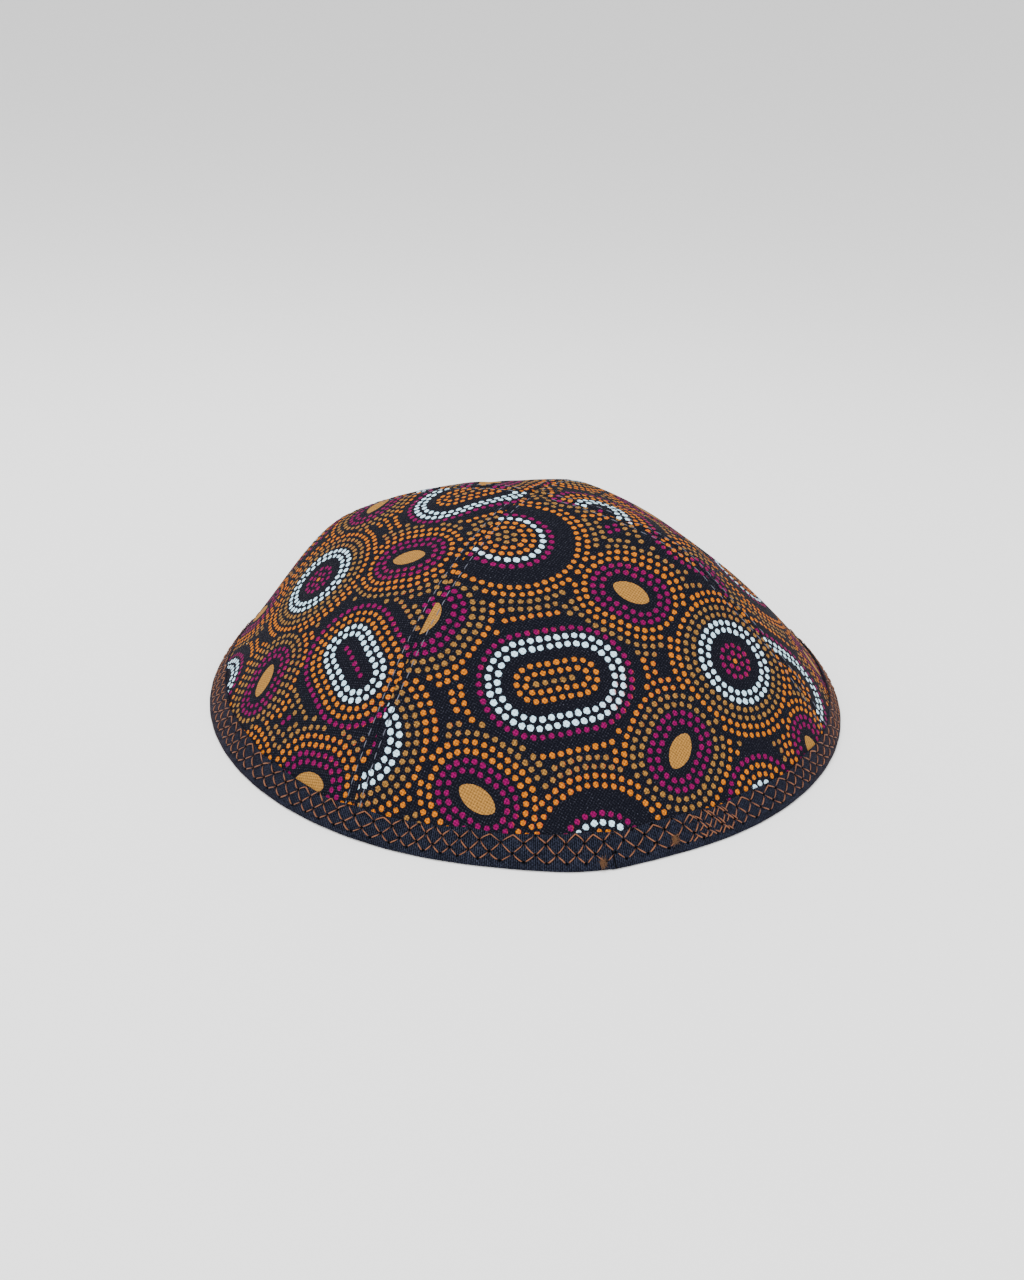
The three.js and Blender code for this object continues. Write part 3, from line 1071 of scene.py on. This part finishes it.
def tape_azimuths(stations):
    """Azimuths of the tape's columns, evenly spaced from each half pitch to the next."""
    round_again = stations + [tau + stations[0]]
    at = np.arange(len(stations) * COLUMNS_PER_STATION) / COLUMNS_PER_STATION
    return np.interp(at, np.arange(len(round_again)), round_again)


def tape_offset(place, azimuths, phase, j):
    """Offsets of the tape's columns at the place numbered j on its section."""
    offset = np.full(len(azimuths), place["offset"])
    if place["part"] == "face":
        for row, needle_height in enumerate(NEEDLE_ROWS):
            away = (phase - needle_row_phase(row) + 1) % 2 - 1
            along = away * NEEDLE_DIMPLE["half_pitch"] / NEEDLE_DIMPLE["along"]
            down = (place["height"] - needle_height) / NEEDLE_DIMPLE["down"]
            offset = offset - NEEDLE_DIMPLE["depth"] * np.exp(-(along**2) - down**2)
        offset = offset + TAPE_PUFF * np.sin(pi * np.clip(place["height"] / TAPE_TOP_OUTSIDE, 0, 1))
    if place["part"] in ("face", "fold") and place["offset"] > 0:
        past_join = (azimuths - TAPE_JOIN["azimuth"] + pi) % tau - pi
        overlapped = (past_join > 0) * np.clip(1 - past_join * RIM_RADIUS / TAPE_JOIN["overlap"], 0, 1)
        offset = offset + TAPE_JOIN["step"] * overlapped
    if place["part"] in ("face", "inner", "fold"):
        ripple = TAPE_RIPPLE["depth"] * np.sin(azimuths * TAPE_RIPPLE["turns"] + j)
        offset = offset + ripple * (1 if place["part"] == "inner" else 0.5)
    return offset


def fold_tape(colours):
    """The tape folded over the crown's lower edge, dimpled where the needle went through."""
    section = tape_section()
    azimuths = tape_azimuths(station_azimuths())
    columns = len(azimuths)
    phase = np.arange(columns) / COLUMNS_PER_STATION
    points = np.empty((columns, len(section), 3))
    across = np.zeros(len(section))
    for j, place in enumerate(section):
        near_edge = max(place["height"] / TAPE_TOP_OUTSIDE - 0.5, 0) * 2
        height = place["height"] + tape_edge_waver(azimuths) * near_edge
        offset = tape_offset(place, azimuths, phase, j)
        points[:, j] = crown_points(azimuths, angle_at_height(height, offset), offset)
        if j:
            across[j] = across[j - 1] + np.linalg.norm(points[0, j] - points[0, j - 1])
    faces = []
    size = len(section)
    for i in range(columns):
        after = (i + 1) % columns
        for j in range(size):
            below = (j + 1) % size
            faces.append((i * size + j, i * size + below, after * size + below, after * size + j))
    piece = mesh_piece("folded_tape", points.reshape(-1, 3), faces)
    mesh = piece.data
    loop_vertices = corner_vertices(mesh)
    along = azimuths[loop_vertices // size] * RIM_RADIUS / MM
    last_column = np.zeros(len(loop_vertices), dtype=bool)
    last_column[4 * size * (columns - 1):] = True
    along = np.where(last_column & (loop_vertices // size == 0), along + tau * RIM_RADIUS / MM, along)
    set_corner_values(mesh, "tape_mm", "uv", np.stack((along, across[loop_vertices % size] / MM), axis=1))
    row_at = np.array([needle_row_at(place) for place in section])
    came_round = along > tau * RIM_RADIUS / MM - 0.2
    phase_at = np.where(came_round, columns, loop_vertices // size) / COLUMNS_PER_STATION
    rows = row_at[loop_vertices % size]
    set_corner_values(mesh, "needle_rows", "uv", np.stack((phase_at, rows), axis=1))
    mesh.materials.append(woven_tape(colours))
    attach(piece, "root")
    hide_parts("rim_binding")
    return piece


# Stitches

def model_stitch(sides, bends):
    """One straight stitch of unit length: its faces and the places of its vertices along and across."""
    bpy.ops.object.select_all(action="DESELECT")
    bpy.ops.mesh.primitive_cylinder_add(
        vertices=sides, radius=0.5, depth=1, end_fill_type="TRIFAN", location=(0, 0, 0), rotation=(0, 0, 0)
    )
    stitch = bpy.context.object
    bpy.ops.object.mode_set(mode="EDIT")
    for i in range(1, bends):
        bpy.ops.mesh.select_all(action="SELECT")
        bpy.ops.mesh.bisect(plane_co=(0, 0, i / bends - 0.5), plane_no=(0, 0, 1))
    bpy.ops.object.mode_set(mode="OBJECT")
    points = np.array([tuple(v.co) for v in stitch.data.vertices])
    faces = [tuple(face.vertices) for face in stitch.data.polygons]
    mesh = stitch.data
    bpy.data.objects.remove(stitch)
    bpy.data.meshes.remove(mesh)
    share = np.round((points[:, 2] + 0.5) * bends) / bends
    return {"share": share, "across": points[:, :2], "faces": faces}


def read_off(values, stations, share):
    """Rows of three values, given at stations, at shares between them."""
    return np.stack([np.interp(share, stations, values[:, i]) for i in range(3)], axis=1)


def bent_stitch(stitch, route, width, end_width):
    """A copy of the stitch laid along a route of points with outward directions."""
    share = stitch["share"]
    stations = np.linspace(0, 1, len(route["points"]))
    ends = np.clip(1 - np.abs(2 * np.interp(share, stations, route["share"]) - 1) ** 3, 0, 1)
    size = end_width + (width - end_width) * ends
    spine = read_off(route["points"], stations, share)
    along = np.gradient(route["points"], axis=0)
    along = along / np.linalg.norm(along, axis=1)[:, None]
    along = read_off(along, stations, share)
    outward = read_off(route["outward"], stations, share)
    sideways = np.cross(outward, along)
    sideways = sideways / np.linalg.norm(sideways, axis=1)[:, None]
    outward = np.cross(along, sideways)
    return spine + (sideways * stitch["across"][:, :1] + outward * stitch["across"][:, 1:]) * size[:, None]


class StitchRun:
    """Gathers bent stitches into one piece."""

    def __init__(self, stitch):
        self.stitch = stitch
        self.points = []
        self.faces = []
        self.uvs = []
        self.tones = []

    def lay(self, route, width, end_width, tone=0.5):
        start = sum(len(points) for points in self.points)
        self.points.append(bent_stitch(self.stitch, route, width, end_width))
        self.faces += [tuple(start + i for i in face) for face in self.stitch["faces"]]
        length = np.linalg.norm(np.diff(route["points"], axis=0), axis=1).sum()
        sideways, height = 2 * self.stitch["across"][:, 0], 2 * self.stitch["across"][:, 1]
        twist = self.stitch["share"] * length / width * 0.7 + 0.35 * sideways
        share = np.interp(self.stitch["share"], np.linspace(0, 1, len(route["share"])), route["share"])
        self.uvs.append(np.stack((twist, height), axis=1))
        self.tones.append(np.stack((share, np.full(len(share), tone)), axis=1))

    def piece(self, name, material, slot):
        piece = mesh_piece(name, np.concatenate(self.points), self.faces)
        mesh = piece.data
        loop_vertices = corner_vertices(mesh)
        set_corner_values(mesh, "thread", "uv", np.concatenate(self.uvs)[loop_vertices])
        set_corner_values(mesh, "share_and_tone", "uv", np.concatenate(self.tones)[loop_vertices])
        mesh.materials.append(material)
        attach(piece, "root")
        return piece


def surface_route(azimuths, angles, offsets):
    """A route on the crown's form with the outward direction at each of its points."""
    points = crown_points(azimuths, angles, offsets)
    step = 1e-3
    after, before = (crown_points(azimuths + way * step, angles, offsets) for way in (1, -1))
    below, above = (crown_points(azimuths, angles + way * step, offsets) for way in (1, -1))
    outward = np.cross(below - above, after - before)
    outward = outward / np.linalg.norm(outward, axis=1)[:, None]
    flip = np.where((outward * points).sum(axis=1) < 0, -1.0, 1.0)
    return {"points": points, "outward": outward * flip[:, None], "share": np.linspace(0, 1, len(points))}


def lattice_leg(leg, drop, face, lift):
    """Route of one stitch from a needle hole down to the next row, arched over the tape."""
    start, end = leg["start"], leg["end"]
    shares = np.linspace(0, 1, LEG_POINTS)
    first = 0 if leg["joined"] else HOLE_SHARE
    reached = first + (1 - HOLE_SHARE - first) * shares
    azimuths = start[0] + (end[0] - start[0]) * reached + leg["bow"] * np.sin(pi * shares)
    heights = start[1] + (end[1] - start[1]) * reached - drop
    share = 0.5 + 0.5 * shares if leg["joined"] else shares
    dip = STITCH_DIP * np.abs(2 * share - 1) ** 4 * np.sign(lift)
    offsets = face + lift * np.sin(pi * share) ** 0.6 - dip
    return {**surface_route(azimuths, angle_at_height(heights, offsets), offsets), "share": share}


def lattice_pitch(stations, i, slip, chance, lattice):
    """The six stitches of one repeat: start, end, sideways bow, width, tone and whether the tops join."""
    count = len(stations)
    legs = []
    peak = chance.uniform(*PEAK_STRAY) * MM
    joined_peak = chance.random() < PEAKS_JOINED
    for row in range(len(NEEDLE_ROWS) - 1):
        at = i + needle_row_phase(row)
        for side in (-1, 1):
            ends = []
            for place, needle_row in ((at, row), (at + side, row + 1)):
                azimuth = stations[place % count] + tau * (place // count) + slip
                azimuth += chance.uniform(-1, 1) * NEEDLE_STRAY / RIM_RADIUS
                ends.append([azimuth, NEEDLE_ROWS[needle_row] + chance.uniform(-1, 1) * NEEDLE_STRAY])
            if row == 0:
                ends[0][0] += side * PEAK_GAPS["joined" if joined_peak else "apart"] / RIM_RADIUS
                ends[0][1] = NEEDLE_ROWS[0] + peak
            if row == len(NEEDLE_ROWS) - 2:
                ends[1][0] -= side * FOOT_GAP / RIM_RADIUS
            legs.append(
                {
                    "start": ends[0],
                    "end": ends[1],
                    "bow": side * STITCH_BOWS[row] / RIM_RADIUS * chance.uniform(*BOW_SPREAD),
                    "width": lattice.thread_width * chance.uniform(*THREAD_SPREAD),
                    # tone: random, plus a painted highlight on the legs of one slant, standing for the side
                    # the light falls on
                    "tone": chance.uniform(0, 0.75) + 0.12 * (1 + side),
                    "joined": row == 0 and joined_peak,
                }
            )
    return legs


def thread_tuft(run, place, chance):
    """A little soft tuft of cut thread ends, combed mostly one way."""
    for _ in range(TUFT_FIBRES):
        turn = place["turn"] + chance.gauss(0, FIBRE["turn"])
        reach = chance.triangular(*FIBRE_LENGTH) * MM
        curl = chance.uniform(-FIBRE["curl"], FIBRE["curl"])
        shares = np.linspace(0, 1, FIBRE_POINTS)
        angles = turn + curl * shares
        across = np.cumsum(np.cos(angles)) * reach / FIBRE_POINTS + chance.gauss(0, TUFT_SPREAD[0]) * MM
        up = np.cumsum(np.sin(angles)) * reach / FIBRE_POINTS + chance.gauss(0, TUFT_SPREAD[1]) * MM
        azimuths = place["azimuth"] + across / RIM_RADIUS
        heights = np.maximum(place["height"] + up, 0.6 * MM)
        lift = chance.uniform(*FIBRE["lift"]) * MM
        offsets = TAPE_FACE + 0.1 * MM + lift * np.sin(pi * shares * chance.uniform(0.5, 1.0))
        route = surface_route(azimuths, angle_at_height(heights, offsets), offsets)
        run.lay(route, chance.uniform(*FIBRE["width"]) * MM, FIBRE["end"] * MM, chance.random())


def stitch_lattice(colours, lattice):
    """The copper lattice: on each pitch two threads cross from row to row down the tape."""
    stations = station_azimuths()
    stitch = model_stitch(6, 5)
    outside = StitchRun(stitch)
    inside = StitchRun(stitch)
    tufts = StitchRun(model_stitch(4, 4))
    chance = random.Random(3)
    for i in range(0, len(stations), 2):
        for leg in lattice_pitch(stations, i, 0, chance, lattice):
            width = leg["width"]
            route = lattice_leg(leg, 0, TAPE_FACE + OVER_TAPE, width * chance.uniform(*LEG_LIFT))
            outside.lay(route, width, THREAD_END * width, leg["tone"])
            route = lattice_leg(leg, INSIDE_STITCH_DROP, TAPE_INNER_FACE - UNDER_TAPE, -LEG_LIFT[0] * width)
            inside.lay(route, INSIDE_WIDTH * width, INSIDE_WIDTH / 2 * width, leg["tone"])
        if DOUBLED_STRETCH[0] < stations[i] < DOUBLED_STRETCH[1]:
            slip = chance.uniform(*DOUBLED_SLIP) * MM / RIM_RADIUS
            for leg in lattice_pitch(stations, i, slip, chance, lattice):
                for end in (leg["start"], leg["end"]):
                    end[1] += chance.uniform(*DOUBLED_RISE) * MM
                width = DOUBLED_WIDTH * leg["width"]
                route = lattice_leg(leg, 0, TAPE_FACE + 0.5 * width, LEG_LIFT[0] * width)
                outside.lay(route, width, THREAD_END * width, leg["tone"])
    for place in TUFTS:
        thread_tuft(tufts, place, chance)
    material = thread_material("copper_thread", colours.thread_light, colours.thread_dark, 0.5)
    outside.piece("lattice_stitches_outside", material, "binding_tape")
    inside.piece("lattice_stitches_inside", material, "binding_tape")
    # the fluff gets the same painted highlight on its top and painted shade at its ends
    fluff = thread_material("thread_fluff", colours.tuft, tuple(value * 0.4 for value in colours.tuft), 0.8)
    tufts.piece("thread_tufts", fluff, "binding_tape")


def topstitch_seams(colours, stitches):
    """Rows of small stitches on both sides of each seam, outside and inside."""
    stitch = model_stitch(5, 4)
    outside = StitchRun(stitch)
    inside = StitchRun(stitch)
    chance = random.Random(8)
    for index in range(len(PANEL_SIDES)):
        pattern = PanelPattern(index * PANEL_ANGLE)
        last = float(pattern.edge_distance(PANEL_ANGLE / 2)) - SEAM_THREAD_START
        for side in (-1, 1):
            distance = SEAM_THREAD_START
            while distance < last:
                length = stitches.seam_stitch_length * chance.uniform(*SEAM_STITCH_SPREAD)
                distances = np.linspace(distance, min(distance + length, last), SEAM_STITCH_POINTS)
                wander = chance.uniform(-1, 1) * SEAM_THREAD["stray"]
                tone = chance.random()
                turns = [side * seam_azimuth(pattern, d, ROW_FROM_SEAM + wander) for d in distances]
                flat = [flat_place(turn, d) for turn, d in zip(turns, distances)]
                from_middle, angles = pattern.lift(*np.array(flat).T)
                azimuths = pattern.middle + from_middle
                radius = seam_radius(angles)
                arch = np.sin(pi * np.linspace(0, 1, SEAM_STITCH_POINTS)) ** 0.6
                for run, outer in ((outside, True), (inside, False)):
                    face = cloth_offset(azimuths, from_middle, distances, radius, outer)
                    lift = (SEAM_STITCH_RISE * arch - SEAM_STITCH_DIP) * (1 if outer else -1)
                    route = surface_route(azimuths, angles, face + lift)
                    run.lay(route, SEAM_THREAD["width"], SEAM_THREAD["end"], tone)
                distance += length + SEAM_THREAD["gap"]
    shadow = tuple(value * 0.3 for value in colours.seam_thread)
    thread = thread_material("grey_thread", colours.seam_thread, shadow, 0.45)
    outside.piece("seam_stitches_outside", thread, "printed_cotton")
    inside.piece("seam_stitches_inside", thread, "printed_cotton")


# Stage

def set_stage():
    """Pale floor that curves up far away, the world's light and soft lights."""
    bpy.ops.object.select_all(action="DESELECT")
    bpy.ops.mesh.primitive_circle_add(
        vertices=128, radius=FLOOR_RADIUS, fill_type="NGON", location=(0, 0, 0)
    )
    floor = bpy.context.object
    floor.name = "floor"
    bpy.ops.object.mode_set(mode="EDIT")
    bpy.ops.mesh.select_all(action="SELECT")
    for _ in range(FLOOR_RINGS):
        bpy.ops.mesh.inset(thickness=(FLOOR_RADIUS - FLAT_FLOOR_RADIUS) / FLOOR_RINGS)
    bpy.ops.object.mode_set(mode="OBJECT")
    for vertex in floor.data.vertices:
        past_flat = max(hypot(vertex.co.x, vertex.co.y) - FLAT_FLOOR_RADIUS, 0)
        vertex.co.z = FLOOR_CURVE * past_flat**2
    bpy.ops.object.shade_smooth()
    material, shader = new_material("pale_floor", 0.9)
    shader.inputs["Base Color"].default_value = FLOOR_COLOUR
    floor.data.materials.append(material)

    world = bpy.context.scene.world or bpy.data.worlds.new("studio")
    bpy.context.scene.world = world
    world.use_nodes = True
    background = world.node_tree.nodes["Background"]
    background.inputs["Color"].default_value = (1, 1, 1, 1)
    background.inputs["Strength"].default_value = WORLD_STRENGTH

    for light in LIGHTS:
        data = bpy.data.lights.new(light["name"], "AREA")
        data.shape = "DISK"
        data.size = light["size"]
        data.energy = light["energy"]
        lamp = bpy.data.objects.new(light["name"], data)
        lamp.location = light["place"]
        lamp.rotation_euler = (-Vector(light["place"])).to_track_quat("-Z", "Y").to_euler()
        bpy.context.scene.collection.objects.link(lamp)


def set_camera():
    """Camera at the side, height and distance from which the cap is seen."""
    azimuth, elevation = CAMERA["azimuth"], CAMERA["elevation"]
    place = CAMERA["distance"] * Vector(
        (sin(azimuth) * cos(elevation), -cos(azimuth) * cos(elevation), sin(elevation))
    )
    data = bpy.data.cameras.new("camera")
    data.lens = CAMERA["lens"]
    data.sensor_width = 36
    data.shift_x = CAMERA["shift_x"]
    data.shift_y = CAMERA["shift_y"]
    data.clip_start = 0.01
    camera = bpy.data.objects.new("camera", data)
    aim = (-place).to_track_quat("-Z", "Y").to_matrix().to_4x4()
    camera.matrix_world = Matrix.Translation(place) @ aim @ Matrix.Rotation(CAMERA["roll"], 4, "Z")
    bpy.context.scene.collection.objects.link(camera)
    bpy.context.scene.camera = camera


class SkullcapPrint(bpy.types.PropertyGroup):
    """Sizes of the print."""

    dot_width: bpy.props.FloatProperty(
        name="Dot width", description="Width of a printed dot", default=1.26 * MM, unit="LENGTH"
    )


class SkullcapStitches(bpy.types.PropertyGroup):
    """Sizes of the stitching."""

    repeats: bpy.props.IntProperty(
        name="Lattice repeats", description="Repeats of the lattice round the rim", default=126, min=24
    )
    thread_width: bpy.props.FloatProperty(
        name="Lattice thread", description="Width of the lattice's thread", default=0.31 * MM, unit="LENGTH"
    )
    seam_stitch_length: bpy.props.FloatProperty(
        name="Seam stitch", description="Length of a stitch beside a seam", default=2.25 * MM, unit="LENGTH"
    )


def colour_property(name, description, default):
    """A colour that a user can change."""
    return bpy.props.FloatVectorProperty(
        name=name, description=description, default=default, subtype="COLOR", size=3, min=0, max=1
    )


class SkullcapColours(bpy.types.PropertyGroup):
    """Colours of the cloth, the inks, the tape and the threads, and how coarse the cloth is."""

    ground: colour_property("Ground", "Dark ground of the print", (0.0042, 0.0045, 0.008))
    # Speck: light fibres, and the painted highlight at the weave's crossings
    speck: colour_property("Speck", "Light fibres in the ground", (0.05, 0.052, 0.07))
    orange: colour_property("Orange", "Orange ink", (0.5, 0.138, 0.0002))
    magenta: colour_property("Magenta", "Magenta ink", (0.175, 0.0003, 0.066))
    tan: colour_property("Tan", "Tan ink", (0.27, 0.13, 0.029))
    white: colour_property("White", "Pale ink", (0.56, 0.83, 0.99))
    reverse: colour_property("Reverse", "Greyish back of the cloth", (0.085, 0.08, 0.092))
    # The tape's threads; the light colour also gives the ribs' crests their painted highlight and the dark
    # one the grooves their painted shade.
    tape_dark: colour_property("Tape, dark threads", "Weft of the tape", (0.0018, 0.0022, 0.0044))
    tape_light: colour_property("Tape, light threads", "Warp of the tape", (0.026, 0.03, 0.05))
    # The light colour gives the thread's top its painted highlight and the dark one its low side and ends
    # their painted shade; ply bands and each stitch's tone lie between them.
    thread_light: colour_property("Lattice thread, light", "Top of the thread", (0.27, 0.1, 0.042))
    thread_dark: colour_property("Lattice thread, dark", "Low side of the thread", (0.045, 0.014, 0.007))
    tuft: colour_property("Tufts", "Cut thread ends", (0.29, 0.14, 0.065))
    seam_thread: colour_property("Seam thread", "Thread beside the seams", (0.15, 0.16, 0.21))
    cotton_thread: bpy.props.FloatProperty(
        name="Cotton thread", description="Spacing of the threads", default=0.42 * MM, unit="LENGTH"
    )


class SKULLCAP_OT_panels(bpy.types.Operator):
    """Cut, print and sew the four crown panels"""

    bl_idname = "skullcap.panels"
    bl_label = "Crown panels"

    def execute(self, context):
        scene = context.scene
        for side in PANEL_SIDES:
            sew_panel(side, scene.skullcap_colours, scene.skullcap_print)
        return {"FINISHED"}


class SKULLCAP_OT_tape(bpy.types.Operator):
    """Fold the tape over the rim"""

    bl_idname = "skullcap.tape"
    bl_label = "Folded tape"

    def execute(self, context):
        fold_tape(context.scene.skullcap_colours)
        return {"FINISHED"}


class SKULLCAP_OT_lattice(bpy.types.Operator):
    """Stitch the copper lattice through the tape"""

    bl_idname = "skullcap.lattice"
    bl_label = "Lattice stitches"

    def execute(self, context):
        stitch_lattice(context.scene.skullcap_colours, context.scene.skullcap_stitches)
        return {"FINISHED"}


class SKULLCAP_OT_topstitching(bpy.types.Operator):
    """Topstitch both sides of each seam"""

    bl_idname = "skullcap.topstitching"
    bl_label = "Seam stitches"

    def execute(self, context):
        topstitch_seams(context.scene.skullcap_colours, context.scene.skullcap_stitches)
        return {"FINISHED"}


class SKULLCAP_OT_stage(bpy.types.Operator):
    """Set the floor, the lights and the camera"""

    bl_idname = "skullcap.stage"
    bl_label = "Stage"

    def execute(self, context):
        set_stage()
        set_camera()
        return {"FINISHED"}


OPERATORS = (
    SKULLCAP_OT_stage,
    SKULLCAP_OT_panels,
    SKULLCAP_OT_tape,
    SKULLCAP_OT_lattice,
    SKULLCAP_OT_topstitching,
)


class SKULLCAP_PT_maker(bpy.types.Panel):
    """Lists the cap's sizes, colours and steps"""

    bl_idname = "SKULLCAP_PT_maker"
    bl_label = "Skullcap"
    bl_space_type = "VIEW_3D"
    bl_region_type = "UI"
    bl_category = "Skullcap"

    def draw(self, context):
        scene = context.scene
        for group in (scene.skullcap_print, scene.skullcap_stitches, scene.skullcap_colours):
            for name in group.__annotations__:
                self.layout.prop(group, name)
        for operator in OPERATORS:
            self.layout.operator(operator.bl_idname)


GROUPS = {
    "skullcap_print": SkullcapPrint,
    "skullcap_stitches": SkullcapStitches,
    "skullcap_colours": SkullcapColours,
}


def register():
    for group in GROUPS.values():
        bpy.utils.register_class(group)
    for name, group in GROUPS.items():
        setattr(bpy.types.Scene, name, bpy.props.PointerProperty(type=group))
    for operator in OPERATORS:
        bpy.utils.register_class(operator)
    bpy.utils.register_class(SKULLCAP_PT_maker)


def unregister():
    bpy.utils.unregister_class(SKULLCAP_PT_maker)
    for operator in reversed(OPERATORS):
        bpy.utils.unregister_class(operator)
    for name in GROUPS:
        delattr(bpy.types.Scene, name)
    for group in reversed(list(GROUPS.values())):
        bpy.utils.unregister_class(group)


def main():
    """Make the whole cap and its stage."""
    register()
    bpy.ops.skullcap.stage()
    bpy.ops.skullcap.panels()
    bpy.ops.skullcap.tape()
    bpy.ops.skullcap.lattice()
    bpy.ops.skullcap.topstitching()


if __name__ == "__main__":
    main()
